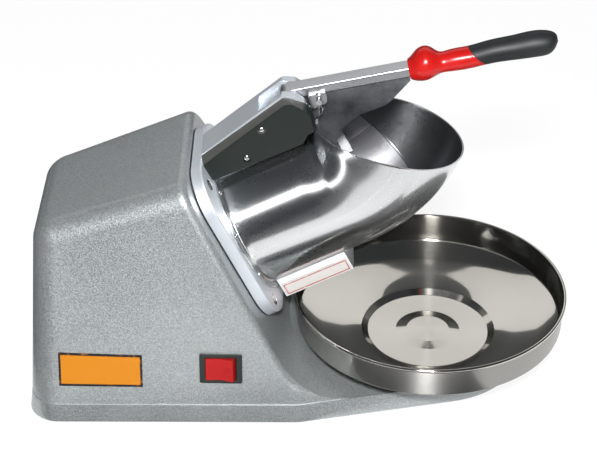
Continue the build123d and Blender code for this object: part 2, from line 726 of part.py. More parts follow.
# Grip sections along the bar: distance, half width, half height and height over the hinge line
GRIP = [
    (89.5, 8.4, 7.0, 5.0),
    (92.5, 10.0, 9.0, 5.0),
    (97, 12.4, 11.4, 6.4),
    (103, 13.0, 12.3, 7.4),
    (108, 11.4, 10.4, 7.2),
    (113, 8.8, 7.7, 5.7),
    (120, 8.6, 7.8, 5.5),
    (134, 8.8, 8.1, 5.4),
    (150, 9.0, 8.4, 6.6),
    (168, 9.5, 9.0, 6.4),
    (184, 10.0, 9.5, 6.2),
    (191.5, 9.0, 8.4, 5.9),
    (196, 6.2, 5.6, 6.8),
    (198.4, 2.4, 2.2, 7.2),
]
GRIP_SPLIT = [(118.9, 271.7), (136.4, 257.1)]  # top and bottom of the slanting colour boundary, X and Z


def grip_body():
    sections = []
    for u, half_width, half_height, v in GRIP:
        plane = Plane(origin=LEVER.from_local_coords((u, v, 0)), x_dir=(0, 1, 0), z_dir=LEVER.x_dir)
        sections.append(plane * Ellipse(half_width, half_height))
    body = loft(sections)
    return body - lever_bar()


def grip_cut(front):
    (x0, z0), (x1, z1) = GRIP_SPLIT
    run = Vector(x1 - x0, 0, z1 - z0) * 6
    far = 200 if front else -200
    corners = [(x0 - run.X, z0 - run.Z, 0), (x1 + run.X, z1 + run.Z, 0), (x1 + run.X + far, z1 + run.Z, 0), (x0 - run.X + far, z0 - run.Z, 0)]
    return side_slab(corners, -60, 60)


def grip_red():
    return grip_body() - grip_cut(True)


def grip_black():
    return grip_body() - grip_cut(False)


# Rocker switch in the near wall

ROCKER_TILT = 8.0
ROCKER_DEPTH = 2.0  # of its pivot, below the wall's face


def switch_frame():
    wide, tall = SWITCH_SIZE
    flange = SWITCH * (Pos(0, 0, -1) * extrude(RectangleRounded(wide, tall, 1.5), amount=2.8))
    body = Pos(0, 0, -16) * Box(wide - 5, tall - 4, 17, align=BASE)
    frame = (flange - block()) + SWITCH * body
    return frame - SWITCH * (Pos(0, 0, -9) * Box(wide - 8.5, tall - 5.5, 20, align=BASE))


def switch_rocker():
    """The rocking key, pressed in on its left half and standing out on its right."""
    wide, tall = SWITCH_SIZE[0] - 9.3, SWITCH_SIZE[1] - 6.3
    key = [(-wide / 2, -1), (wide / 2, -1), (wide / 2 - 0.9, 4.6), (0, 2.4), (0.9 - wide / 2, 4.6)]
    body = extrude(Plane.XZ * make_face(Polyline(*key, close=True)), amount=tall / 2, both=True)
    bar = Pos(-7, 0, 3.1) * Rot(0, 12, 0) * Box(0.9, 6, 1.4)
    ring = Pos(6.4, 0, 3.2) * Rot(0, -12, 0) * (Cylinder(2.4, 1.4) - Cylinder(1.6, 3))
    key = body + bar + ring + Pos(0, 0, -ROCKER_DEPTH) * Rot(90, 0, 0) * Cylinder(1.8, tall - 1)
    pivot = Pos(0, 0, -ROCKER_DEPTH)
    return SWITCH * (pivot * Rot(0, -ROCKER_TILT, 0) * Pos(0, 0, ROCKER_DEPTH) * key)


def cord_inlet():
    """The bushing in the rear wall that the mains cord goes through."""
    x = REAR_X + BODY_REAR
    lean = (TOP_REAR[0] - x) / (TOP_REAR[1] - PLATFORM)
    face = x + lean * (INLET_HEIGHT - PLATFORM)
    plane = Plane(origin=(face, 0, INLET_HEIGHT), x_dir=(0, 1, 0), z_dir=(1, 0, 0))
    bush = drum(INLET_RADIUS - 0.1, -3, 9) + drum(9, -3, -0.9) + drum(8.5, 5, 9)
    return plane * (bush - drum(3.8, -5, 12))


def run_capacitor():
    return Pos(-118, 61, 5) * fillet(drum(17, 0, 62).edges(), 1.5)


def capacitor_strap():
    ring = drum(18.5, 28, 38, 17)
    return Pos(-118, 61, 5) * (ring + Pos(17, 0, 0) * Box(3, 10, 38, align=(Align.MIN, Align.CENTER, Align.MIN)))


def terminal_block():
    block_body = Box(46, 16, 14, align=BASE)
    for i in range(4):
        block_body -= Pos(-16.5 + 11 * i, 0, 6) * drum(2.2, 0, 10)
    return Pos(-165, -48, 5) * block_body


BOWL_STEP = 23.0  # radius of the raised disc in the middle of the bowl's floor


def bowl():
    """One spun sheet: flat floor, stepped ring, shallow cone, upright band and rolled rim."""
    seat = PLATFORM - BOWL_SEAT[1]
    sheet = 0.9
    rim = BOWL_RADIUS - 1.5
    step = BOWL_STEP
    high = BOWL_RIM_HEIGHT - seat - 1.5
    outer = [(0, 0.6), (step, 0.6), (step + 1, 0), (48.5, 0), (53.5, 3.2), (102.8, 17.2), (104.6, 19.6), (rim, high)]
    inner = [(rim - sheet, high), (103.7, 20.0), (102.2, 18.1), (53.0, 4.2), (48.2, sheet)]
    inner += [(step + 1.1, sheet), (step + 0.1, sheet + 0.6), (0, sheet + 0.6)]
    face = make_face(Polyline(*outer, *inner, close=True))
    bead = Pos(rim, high) * Circle(1.5)
    turned = revolve(Plane.XZ * (face + bead), axis=Axis.Z)
    return Pos(BOWL_X, 0, seat) * turned


PARTS = [
    housing_shell,
    base_plate,
    rubber_feet,
    base_screws,
    front_plate,
    plate_gasket,
    plate_screws,
    hopper_shell,
    hopper_screws,
    discharge_guard,
    guard_label,
    side_label,
    hinge_bracket,
    cover_near,
    cover_screws,
    hinge_pin,
    interlock_switch,
    motor_front_cap,
    motor_can,
    motor_rear_cap,
    stator_core,
    stator_windings,
    front_bearing,
    rear_bearing,
    nose_bush,
    spindle_shaft,
    rotor_core,
    cooling_fan,
    blade_disc,
    shaving_blades,
    blade_screws,
    disc_nut,
    lever_bar,
    pusher_web,
    pusher_plate,
    hinge_lug,
    link_pin,
    split_pin,
    grip_red,
    grip_black,
    switch_frame,
    switch_rocker,
    cord_inlet,
    run_capacitor,
    capacitor_strap,
    terminal_block,
    bowl,
]

os.makedirs("parts", exist_ok=True)
for make in PARTS:
    export_step(make(), f"parts/{make.__name__}.step")
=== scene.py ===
from math import acos, atan2, cos, pi, radians, sin, tan

import bmesh
import bpy
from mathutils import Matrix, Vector


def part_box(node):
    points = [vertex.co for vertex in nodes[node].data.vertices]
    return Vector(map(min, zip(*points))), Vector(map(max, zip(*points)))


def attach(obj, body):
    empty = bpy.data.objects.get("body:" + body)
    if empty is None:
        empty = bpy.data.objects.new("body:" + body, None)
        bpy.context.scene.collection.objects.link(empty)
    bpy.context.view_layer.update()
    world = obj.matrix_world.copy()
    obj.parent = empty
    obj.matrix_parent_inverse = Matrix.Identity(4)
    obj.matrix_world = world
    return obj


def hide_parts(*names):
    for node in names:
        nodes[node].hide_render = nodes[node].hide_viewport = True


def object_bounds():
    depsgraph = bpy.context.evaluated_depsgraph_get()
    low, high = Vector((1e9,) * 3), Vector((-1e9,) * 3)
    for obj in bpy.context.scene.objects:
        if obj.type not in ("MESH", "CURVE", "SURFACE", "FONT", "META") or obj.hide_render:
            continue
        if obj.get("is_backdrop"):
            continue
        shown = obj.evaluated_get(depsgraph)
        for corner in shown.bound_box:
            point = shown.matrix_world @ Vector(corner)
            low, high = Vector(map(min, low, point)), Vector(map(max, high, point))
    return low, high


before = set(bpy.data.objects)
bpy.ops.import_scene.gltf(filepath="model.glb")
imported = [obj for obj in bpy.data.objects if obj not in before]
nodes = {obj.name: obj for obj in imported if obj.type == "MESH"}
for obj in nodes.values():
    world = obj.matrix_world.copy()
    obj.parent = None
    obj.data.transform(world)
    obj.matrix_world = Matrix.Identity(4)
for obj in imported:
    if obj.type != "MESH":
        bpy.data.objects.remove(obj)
cad_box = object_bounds()


# ---------------------------------------------------------------- Table top, backdrop and light
# The machine stands on a pale table that runs up into the backdrop without an edge. It is white
# where it is seen, also in the steel as far as the dark cards leave it in sight, and it keeps the
# machine's soft shadow.


class Value:
    """A number that varies over a surface: arithmetic on it adds the maths nodes."""

    def __init__(self, finish, socket):
        self.finish, self.socket = finish, socket

    def maths(self, operation, *others):
        inputs = dict(enumerate((self, *others)))
        return self.finish.node("Math", {"operation": operation}, inputs).value(0)

    def __add__(self, other):
        return self.maths("ADD", other)

    def __mul__(self, other):
        return self.maths("MULTIPLY", other)

    def __sub__(self, other):
        return self.maths("SUBTRACT", other)

    def __rsub__(self, other):
        return self.finish.node("Math", {"operation": "SUBTRACT"}, {0: other, 1: self}).value(0)

    def __abs__(self):
        return self.maths("ABSOLUTE")

    def at_most(self, other):
        return self.maths("MINIMUM", other)

    def at_least(self, other):
        return self.maths("MAXIMUM", other)

    def rises(self, low, high):
        """0 below low, 1 above high, and a smooth step between them."""
        sockets = {"Value": self, "From Min": low, "From Max": high}
        return self.finish.node("MapRange", {"interpolation_type": "SMOOTHSTEP"}, sockets).value(0)

    __radd__ = __add__


class Made:
    """A node that has been placed, for reading its outputs."""

    def __init__(self, finish, node):
        self.finish, self.node = finish, node

    def value(self, output):
        return Value(self.finish, self.node.outputs[output])


class Finish:
    """One material, put together from nodes."""

    def __init__(self, name, tree=None):
        self.material = None
        if tree is None:
            self.material = bpy.data.materials.new(name)
            self.material.use_nodes = True
            tree = self.material.node_tree
        tree.nodes.clear()
        self.tree = tree

    def node(self, kind, settings=None, sockets=None):
        node = self.tree.nodes.new("ShaderNode" + kind)
        for name, setting in (settings or {}).items():
            setattr(node, name, setting)
        for name, given in (sockets or {}).items():
            if isinstance(given, Value):
                self.tree.links.new(given.socket, node.inputs[name])
            else:
                node.inputs[name].default_value = given
        return Made(self, node)

    def place(self, scale=(1, 1, 1)):
        """Positions on the piece, in metres times scale."""
        where = self.node("TexCoord").value("Object")
        return self.node("Mapping", None, {"Vector": where, "Scale": scale}).value(0)

    def noise(self, where, scale, detail=3.0, roughness=0.5):
        sockets = {"Vector": where, "Scale": scale, "Detail": detail, "Roughness": roughness}
        return self.node("TexNoise", None, sockets).value("Fac")

    def cells(self, where, scale, feature="F1", output="Distance"):
        sockets = {"Vector": where, "Scale": scale}
        return self.node("TexVoronoi", {"feature": feature}, sockets).value(output)

    def axes(self, where):
        split = self.node("SeparateXYZ", None, {"Vector": where})
        return [split.value(axis) for axis in "XYZ"]

    def mix(self, amount, one, other):
        """A colour that goes from one to the other as amount goes from 0 to 1."""
        sockets = {0: amount, 6: solid(one), 7: solid(other)}
        return self.node("Mix", {"data_type": "RGBA"}, sockets).value(2)

    def bump(self, height, depth, strength=1.0):
        sockets = {"Height": height, "Distance": depth, "Strength": strength}
        return self.node("Bump", None, sockets).value(0)

    def surface(self, **sockets):
        named = {name.replace("_", " "): given for name, given in sockets.items()}
        named["Base Color"] = solid(named["Base Color"])
        shader = self.node("BsdfPrincipled", None, named).value(0)
        self.node("OutputMaterial", None, {"Surface": shader})
        return self.material


def solid(colour):
    return colour if isinstance(colour, Value) else (*colour[:3], 1.0)


def put(name, mesh_or_bm, material=None):
    """A mesh placed in the scene as a piece of its own."""
    mesh = mesh_or_bm
    if isinstance(mesh, bmesh.types.BMesh):
        mesh = bpy.data.meshes.new(name)
        mesh_or_bm.to_mesh(mesh)
        mesh_or_bm.free()
    piece = bpy.data.objects.new(name, mesh)
    bpy.context.scene.collection.objects.link(piece)
    if material:
        mesh.materials.clear()
        mesh.materials.append(material)
    return piece


def sheet_of(rows, closed_rows=False, closed_ring=False):
    """A grid of faces through rows of points."""
    bm = bmesh.new()
    made = [[bm.verts.new(point) for point in row] for row in rows]
    ends = len(made) if closed_rows else len(made) - 1
    for i in range(ends):
        one, two = made[i], made[(i + 1) % len(made)]
        across = len(one) if closed_ring else len(one) - 1
        for j in range(across):
            k = (j + 1) % len(one)
            bm.faces.new((one[j], one[k], two[k], two[j]))
    return bm


def seen_white(finish, shader, strength):
    """Mixes white light into a shader where it is seen directly, in gloss or through glass."""
    rays = finish.node("LightPath")
    seen = rays.value("Is Camera Ray") + rays.value("Is Glossy Ray")
    seen = seen + rays.value("Is Transmission Ray")
    glow = finish.node("Emission", None, {"Color": (1, 1, 1, 1), "Strength": 1.0}).value(0)
    sockets = {0: seen.at_most(1) * strength, 1: shader, 2: glow}
    return finish.node("MixShader", None, sockets).value(0)


TABLE_HALF = 2.4
BACK_EDGE, BACK_ROUND, BACK_HEIGHT = 1.5, 0.8, 3.6
BACK_STEPS = 12  # facets of the round between table and backdrop
TABLE_WHITE, TABLE_GLOW = 0.86, 0.90

table = Finish("table_white")
matte = table.node("BsdfDiffuse", None, {"Color": solid([TABLE_WHITE] * 3)}).value(0)
table.node("OutputMaterial", None, {"Surface": seen_white(table, matte, TABLE_GLOW)})

sweep = [(-TABLE_HALF, 0.0)]
for i in range(BACK_STEPS + 1):
    angle = pi / 2 * i / BACK_STEPS
    sweep.append((BACK_EDGE + BACK_ROUND * sin(angle), BACK_ROUND * (1 - cos(angle))))
sweep.append((BACK_EDGE + BACK_ROUND, BACK_HEIGHT))
rows = [[(x, y, z) for x in (-TABLE_HALF, TABLE_HALF)] for y, z in sweep]
backdrop = put("backdrop", sheet_of(rows), table.material)
for polygon in backdrop.data.polygons:
    polygon.use_smooth = True
backdrop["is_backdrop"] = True

AIR, AIR_LIGHT = (0.80, 0.82, 0.85, 1), 0.15
world = bpy.data.worlds.new("studio_air")
bpy.context.scene.world = world
world.use_nodes = True
air = Finish("studio_air", world.node_tree)
rays = air.node("LightPath")
seen = (rays.value("Is Camera Ray") + rays.value("Is Transmission Ray")).at_most(1)
dim = air.node("Background", None, {"Color": AIR, "Strength": AIR_LIGHT}).value(0)
pale = air.node("Background", None, {"Color": (1, 1, 1, 1), "Strength": 1.0}).value(0)
lit = air.node("MixShader", None, {0: seen, 1: dim, 2: pale}).value(0)
air.node("OutputWorld", None, {"Surface": lit})


def soft_lamp(name, place, aim, size, watts, gloss=True):
    light = bpy.data.lights.new(name, "AREA")
    light.shape, light.size, light.size_y = "RECTANGLE", size[0], size[1]
    light.energy = watts
    lamp = bpy.data.objects.new(name, light)
    lamp.location = place
    lamp.rotation_euler = (Vector(aim) - Vector(place)).to_track_quat("-Z", "Y").to_euler()
    lamp.visible_glossy = gloss
    bpy.context.scene.collection.objects.link(lamp)


MIDDLE, LOW_MIDDLE = (0, 0, 0.12), (0, 0, 0.1)  # what the lamps are turned to
soft_lamp("flash", place=(0.0, -1.40, 1.36), aim=MIDDLE, size=(0.26, 0.18), watts=74)
soft_lamp(
    "front_window", place=(-0.3, -2.2, 1.1), aim=MIDDLE, size=(2.0, 1.4), watts=9, gloss=False
)
soft_lamp(
    "overhead_box", place=(0.1, 0.4, 1.9), aim=LOW_MIDDLE, size=(1.4, 1.0), watts=1.2, gloss=False
)


# Dark cards stand for a room beyond the table. Only reflections show them, and they take part of
# the white table out of the polished steel. The card beside the skirt, foot_shade, is painted
# shade: it darkens the table near the machine's foot where the paint and steel reflect it.

ROOM_HALF, ROOM_FRONT, ROOM_BACK, ROOM_HIGH = 2.35, -2.9, 1.3, 2.75
TABLE_LEFT, TABLE_FRONT, TABLE_BACK = -0.25, -0.44, 1.0  # where the white table shows from
FOOT_RIGHT, FOOT_FRONT, FOOT_BACK = 0.16, -0.160, -0.097  # of the card beside the skirt
FLOOR_LIFT, FOOT_LIFT = 0.002, 0.003
BACK_LOW, BACK_TOP = 0.03, 0.85
WALL_LOW, SIDE_END, CEILING_END = 0.35, 1.1, 1.75
DUSK, DUSK_LIGHT = (0.85, 0.92, 1.0, 1), 0.055

dusk = Finish("dark_room")
gloom = dusk.node("Emission", None, {"Color": DUSK, "Strength": DUSK_LIGHT}).value(0)
dusk.node("OutputMaterial", None, {"Surface": gloom})


def room_side(name, corners):
    """A flat card, which only reflections show."""
    side = put(name, sheet_of([corners[:2], corners[:1:-1]]), dusk.material)
    side.visible_camera = side.visible_diffuse = side.visible_shadow = False
    side.visible_transmission = side.visible_volume_scatter = False
    side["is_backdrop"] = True


for name, (x0, y0, z0), (x1, y1, z1) in (
    ("room_floor", (-ROOM_HALF, ROOM_FRONT, FLOOR_LIFT), (ROOM_HALF, TABLE_FRONT, FLOOR_LIFT)),
    (
        "room_floor_left",
        (-ROOM_HALF, TABLE_FRONT, FLOOR_LIFT),
        (TABLE_LEFT, TABLE_BACK, FLOOR_LIFT),
    ),
    ("foot_shade", (TABLE_LEFT, FOOT_FRONT, FOOT_LIFT), (FOOT_RIGHT, FOOT_BACK, FOOT_LIFT)),
    ("room_front", (-ROOM_HALF, ROOM_FRONT, 0.0), (ROOM_HALF, ROOM_FRONT, ROOM_HIGH)),
    ("room_back", (-ROOM_HALF, ROOM_BACK, BACK_LOW), (ROOM_HALF, ROOM_BACK, BACK_TOP)),
    ("room_ceiling", (-ROOM_HALF, ROOM_FRONT, ROOM_HIGH), (ROOM_HALF, CEILING_END, ROOM_HIGH)),
):
    room_side(name, [(x0, y0, z0), (x1, y0, z0), (x1, y1, z1), (x0, y1, z1)])
for name, x in (("room_left", -ROOM_HALF), ("room_right", ROOM_HALF)):
    near, far = (x, ROOM_FRONT), (x, SIDE_END)
    room_side(name, [(*near, WALL_LOW), (*far, WALL_LOW), (*far, ROOM_HIGH), (*near, ROOM_HIGH)])


# ---------------------------------------------------------------- Camera
# The view is the photograph's: from the near side, about 33 degrees above the table, through a
# long lens. Colours go to the picture as they are lit.

CAMERA_TURN, CAMERA_RISE = radians(0.3), radians(33.27)
CAMERA_REACH = 1.3835
CAMERA_AIM = Vector((-0.00253, 0.0, 0.11613))
FOCAL_PIXELS, FRAME_PIXELS = 1800, 597
FILM = 36.0

level = cos(CAMERA_RISE)
back = Vector((sin(CAMERA_TURN) * level, -cos(CAMERA_TURN) * level, sin(CAMERA_RISE)))
lens = bpy.data.cameras.new("camera")
lens.sensor_fit, lens.sensor_width = "HORIZONTAL", FILM
lens.lens = FOCAL_PIXELS / FRAME_PIXELS * FILM
lens.clip_start, lens.clip_end = 0.05, 20
camera = bpy.data.objects.new("camera", lens)
camera.location = CAMERA_AIM + back * CAMERA_REACH
camera.rotation_euler = back.to_track_quat("Z", "Y").to_euler()
bpy.context.scene.collection.objects.link(camera)
bpy.context.scene.camera = camera
bpy.context.scene.view_settings.view_transform = "Standard"


# ---------------------------------------------------------------- Housing
# A cast and sheet body on a low skirt, painted grey with a hammered metallic paint. The platform
# that the bowl stands on is part of it.


def eased(node, width=0.0004, angle=32):
    """Welds a CAD piece's facets for smooth shading, and rounds its sharp edges a little."""
    piece = nodes[node]
    for polygon in piece.data.polygons:
        polygon.use_smooth = True
    weld = piece.modifiers.new("weld", "WELD")
    weld.merge_threshold = 1e-6
    if width:
        bevel = piece.modifiers.new("eased_edges", "BEVEL")
        bevel.width, bevel.segments = width, 2
        bevel.limit_method, bevel.angle_limit = "ANGLE", radians(angle)
        bevel.harden_normals = False
    even = piece.modifiers.new("even_shading", "WEIGHTED_NORMAL")
    even.keep_sharp, even.weight = True, 80
    return piece


def wear(piece, material):
    piece.data.materials.clear()
    piece.data.materials.append(material)


def hammered_paint(name, base, light):
    """Metallic paint with fine blisters: broad and silvery under the light, dark away from it."""
    paint = Finish(name)
    where = paint.place()
    blisters = paint.cells(where, 900, "SMOOTH_F1").rises(0.1, 0.75)
    flake = paint.axes(paint.cells(where, 1700, output="Color"))[0]
    cloud = paint.noise(where, 9, 4, 0.6)
    colour = paint.mix(((cloud - 0.5) * 0.5 + flake * 0.5 + blisters * 0.3).at_most(1), base, light)
    rough = 0.46 + (flake - 0.5) * 0.2 + (cloud - 0.5) * 0.08
    lift = paint.bump(blisters + paint.noise(where, 1500, 2) * 0.5, 0.00016, 0.45)
    sockets = {"Base_Color": colour, "Metallic": 0.78, "Roughness": rough, "Normal": lift}
    return paint.surface(**sockets, Coat_Weight=0.35, Coat_Roughness=0.16)


PAINT = hammered_paint("hammered_grey", (0.26, 0.28, 0.285), (0.50, 0.525, 0.53))
wear(eased("housing_shell", 0.0009), PAINT)


# ---------------------------------------------------------------- Base plate, feet and screws
# A zinc-plated steel plate closes the housing from below and carries four rubber feet. Its screws
# are bright steel, as are those of the front plate and the blades.


def brushed(name, base, rough, along=(1, 1, 1), metallic=1.0, depth=0.00002):
    metal = Finish(name)
    where = metal.place(along)
    grain = metal.noise(where, 900, 4, 0.6)
    smudge = metal.noise(metal.place(), 18, 3)
    dark, light = [c * 0.82 for c in base], [min(1, c * 1.12) for c in base]
    colour = metal.mix(grain * 0.5 + smudge * 0.5, dark, light)
    sheen = rough + (grain - 0.5) * 0.15 + (smudge - 0.5) * 0.12
    lift = metal.bump(grain, depth, 0.6)
    return metal.surface(Base_Color=colour, Metallic=metallic, Roughness=sheen, Normal=lift)


def moulded(name, base, rough, grain=0.00002, scale=900, metallic=0.0, coat=0.0, shine=0.5):
    stuff = Finish(name)
    where = stuff.place()
    skin = stuff.noise(where, scale, 3)
    mottle = stuff.noise(where, 40, 4)
    dark, light = [c * 0.85 for c in base], [min(1, c * 1.15 + 0.004) for c in base]
    colour = stuff.mix(mottle, dark, light)
    sheen = rough + (mottle - 0.5) * 0.12
    lift = stuff.bump(skin, grain, 0.5)
    sockets = {"Base_Color": colour, "Metallic": metallic, "Roughness": sheen, "Normal": lift}
    gloss = {"Coat_Weight": coat, "Coat_Roughness": 0.08, "Specular_IOR_Level": shine}
    return stuff.surface(**sockets, **gloss)


ZINC = brushed("zinc_plate", (0.62, 0.63, 0.66), rough=0.38, along=(1, 12, 12))
RUBBER = moulded("black_rubber", (0.025, 0.025, 0.027), rough=0.72)
SCREW = brushed("screw_steel", (0.74, 0.74, 0.76), rough=0.22)
wear(eased("base_plate", 0.0003), ZINC)
wear(eased("rubber_feet", 0), RUBBER)
for node in ("base_screws", "plate_screws", "blade_screws", "disc_nut"):
    wear(eased(node, 0.0002), SCREW)


# ---------------------------------------------------------------- Front plate and gasket
# A thick aluminium casting, linished on its face and edges, closes the front of the housing and
# carries the hopper. A dark rubber gasket lies under it.

CAST = brushed(
    "linished_casting", (0.72, 0.76, 0.81), rough=0.46, along=(6, 6, 1), metallic=0.8, depth=0.00003
)
wear(eased("front_plate", 0.0006), CAST)
wear(eased("plate_gasket", 0), RUBBER)


# ---------------------------------------------------------------- Hopper
# A stainless tube bends up into an open mouth. Its two halves are welded together across the bend
# and polished round the section, and the foot flares into a flange that is screwed to the front
# plate.

TUBE_TILT = radians(27)
TUBE_AXIS = Vector((cos(TUBE_TILT), 0, sin(TUBE_TILT)))
TUBE_DROP = Vector((sin(TUBE_TILT), 0, -cos(TUBE_TILT)))
TUBE_RADIUS, SHEET = 0.0515, 0.0012
ELBOW_CENTRE = Vector((-0.0088, 0, 0.237))
ELBOW_REACH, ELBOW_START = 0.087, 0.0805
ELBOW_TOP, ELBOW_POWER = 0.061, 2.6
TUBE_FOOT = ELBOW_CENTRE - TUBE_AXIS * ELBOW_START + TUBE_DROP * ELBOW_REACH
SQUARE_FROM, SQUARE_RUN = 0.062, 0.035  # where the section begins to widen, and for how long
MOUTH_TILT, MOUTH_DEPTH = radians(13.6), 0.017
OUTLET = (0.008, 0.058, radians(25.3))  # start, end and half angle of the discharge opening
FLANGE_WIDTH, FLANGE_TOP, FLARE = 0.0055, 0.0015, 0.0025
FLARE_STEPS = 6


def filled(marks, counts):
    """Numbers from mark to mark, with an even count of steps in each stretch."""
    steps = []
    for one, two, count in zip(marks, marks[1:], counts):
        steps += [one + (two - one) * i / count for i in range(count)]
    return steps + [marks[-1]]


def hopper_section(angle, square, extra=0.0):
    """Where the section's outline is at an angle from its foot: along the drop, and along Y."""
    down, side = cos(angle), sin(angle)
    radius = TUBE_RADIUS + extra
    if down >= 0:
        return radius * down, radius * side
    power = 2 + (ELBOW_POWER - 2) * square
    reach = radius + (ELBOW_TOP - TUBE_RADIUS) * square
    way = 1 if side > 0 else -1
    return -reach * abs(down) ** (2 / power), (radius * abs(side) ** (2 / power)) * way


def smooth(value):
    value = min(1.0, max(0.0, value))
    return value * value * (3 - 2 * value)


around = filled([-pi, -pi / 2, -OUTLET[2], OUTLET[2], pi / 2, pi], [30, 26, 14, 26, 30])[:-1]
feet = [(FLANGE_TOP, FLANGE_WIDTH)]
for i in range(FLARE_STEPS + 1):
    turn = pi / 2 * i / FLARE_STEPS
    feet.append((FLANGE_TOP + FLARE * (1 - cos(turn)), FLARE * (1 - sin(turn))))
feet += [(along, 0.0) for along in filled([OUTLET[0], OUTLET[1], ELBOW_START], [12, 10])]
BEND_ROWS = 44


def bend_end(angle):
    """How far round the bend a line runs until it meets the mouth's plane."""
    reach = ELBOW_REACH + hopper_section(angle, 1.0)[0]
    return pi - MOUTH_TILT - acos(-MOUTH_DEPTH / reach) - TUBE_TILT


def squareness(angle, run):
    """Grows smoothly along a line from round to the bend's own section."""
    full = ELBOW_START + min(SQUARE_RUN, 0.8 * ELBOW_REACH * bend_end(angle))
    return smooth((run - SQUARE_FROM) / (full - SQUARE_FROM))


rows = []
for along, extra in feet:
    spots = [hopper_section(angle, squareness(angle, along), extra) for angle in around]
    centre = TUBE_FOOT + TUBE_AXIS * along
    rows.append([centre + TUBE_DROP * drop + Vector((0, y, 0)) for drop, y in spots])
for i in range(1, BEND_ROWS + 1):
    row = []
    for angle in around:
        bend = bend_end(angle) * i / BEND_ROWS
        drop, y = hopper_section(angle, squareness(angle, ELBOW_START + ELBOW_REACH * bend))
        turn, reach = TUBE_TILT - pi / 2 + bend, ELBOW_REACH + drop
        row.append(ELBOW_CENTRE + Vector((reach * cos(turn), y, reach * sin(turn))))
    rows.append(row)
sheet = sheet_of(rows, closed_ring=True)
gone = []
for face in sheet.faces:
    spot = face.calc_center_median() - TUBE_FOOT
    run, turn = spot.dot(TUBE_AXIS), atan2(spot.y, spot.dot(TUBE_DROP))
    if OUTLET[0] < run < OUTLET[1] and abs(turn) < OUTLET[2]:
        gone.append(face)
bmesh.ops.delete(sheet, geom=gone, context="FACES")


def settled(piece, angle=35):
    """Applies a piece's modifiers to a plain mesh, smooth but for its sharp edges."""
    bpy.context.view_layer.update()
    seen = piece.evaluated_get(bpy.context.evaluated_depsgraph_get())
    mesh = bpy.data.meshes.new_from_object(seen)
    mesh.name = piece.name
    piece.modifiers.clear()
    piece.data = mesh
    mesh.shade_smooth()
    mesh.set_sharp_from_angle(angle=radians(angle))
    return piece


def thickened(piece, thickness, edge):
    """Gives a sheet its thickness inwards, with eased edges."""
    sheet = piece.modifiers.new("sheet", "SOLIDIFY")
    sheet.thickness, sheet.offset, sheet.use_even_offset = thickness, -1, True
    bevel = piece.modifiers.new("eased", "BEVEL")
    bevel.width, bevel.segments = edge, 2
    bevel.limit_method, bevel.angle_limit = "ANGLE", radians(50)
    return settled(piece)


def machine_part(piece, slot, *replaced, body="machine"):
    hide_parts(*replaced)
    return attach(piece, body)


def grain_across(mesh, far):
    """Sets what the steel's polish runs round: the Y axis where far is off to the side."""
    mesh.use_auto_texspace = False
    mesh.texspace_location = far
    mesh.texspace_size = (1, 1, 1)


def polished(name, base, clear, brushed, share, smear=0.05):
    """Steel polished round its section: part clear mirror, part drawn out across the polish."""
    steel = Finish(name)
    where = steel.place()
    haze = steel.noise(where, 22, 4, 0.6)
    scuffs = steel.noise(where, 420, 3, 0.65)
    dots = steel.cells(where, 190).rises(0.06, 0.02)
    specks = dots * steel.noise(where, 60, 2).rises(0.56, 0.62)
    dark, light = [c * 0.93 for c in base], [min(1, c * 1.05) for c in base]
    colour = steel.mix(haze, dark, light)
    wander = (haze - 0.5) * smear + (scuffs - 0.5) * smear + specks * 0.2
    lift = steel.bump(scuffs + specks * 2, 0.00001, 0.5)
    look = {"Base Color": colour, "Metallic": 1.0, "Normal": lift}
    mirror = steel.node("BsdfPrincipled", None, look | {"Roughness": wander + clear}).value(0)
    turned = {"Roughness": wander + brushed, "Anisotropic": 1.0, "Anisotropic Rotation": 0.25}
    drawn = steel.node("BsdfPrincipled", None, look | turned).value(0)
    mixed = steel.node("MixShader", None, {0: share, 1: mirror, 2: drawn}).value(0)
    steel.node("OutputMaterial", None, {"Surface": mixed})
    return steel.material


HOPPER_STEEL = polished(
    "hopper_stainless", (0.84, 0.85, 0.86), clear=0.13, brushed=0.28, share=0.42
)
hopper = put("hopper", sheet, HOPPER_STEEL)
thickened(hopper, SHEET, 0.0003)
grain_across(hopper.data, (50, 0, 0))
WELD_BEND = radians(19.3)  # how far round the bend its two halves are welded together


def matt_inside(name, deep, shallow):
    """The unpolished inside: frosted below the weld, brushed above it, with the weld's dark line."""
    steel = Finish(name)
    x, _, z = steel.axes(steel.place())
    lean = TUBE_TILT - pi / 2 + WELD_BEND
    past = (z - ELBOW_CENTRE.z) * cos(lean) - (x - ELBOW_CENTRE.x) * sin(lean)
    above = past.rises(-0.0002, 0.0002)
    ripple = steel.noise(steel.place(), 160, 2)
    bead = 1 - (abs(past) + (ripple - 0.5) * 0.0004).rises(0.0002, 0.0009)
    frost = steel.noise(steel.place(), 520, 5, 0.7)
    haze = steel.noise(steel.place(), 26, 4, 0.6)
    colour = steel.mix(above, deep, shallow)
    colour = steel.mix((bead * 0.75).at_most(1), colour, (0.10, 0.10, 0.12))
    rough = 0.40 - above * 0.06 + (frost - 0.5) * 0.25 + (haze - 0.5) * 0.2
    lift = steel.bump(frost * (1.2 - above) + bead * 3, 0.00012, 0.7)
    sockets = {"Base_Color": colour, "Metallic": 1.0, "Roughness": rough, "Normal": lift}
    return steel.surface(**sockets, Anisotropic=0.6, Anisotropic_Rotation=0.25)


def section_centre(spot):
    """The middle of the hopper's section that a spot of its sheet belongs to."""
    reach = spot - ELBOW_CENTRE
    along = reach.dot(TUBE_AXIS)
    if along < 0:
        return ELBOW_CENTRE + TUBE_AXIS * along + TUBE_DROP * ELBOW_REACH
    return ELBOW_CENTRE + Vector((reach.x, 0, reach.z)).normalized() * ELBOW_REACH


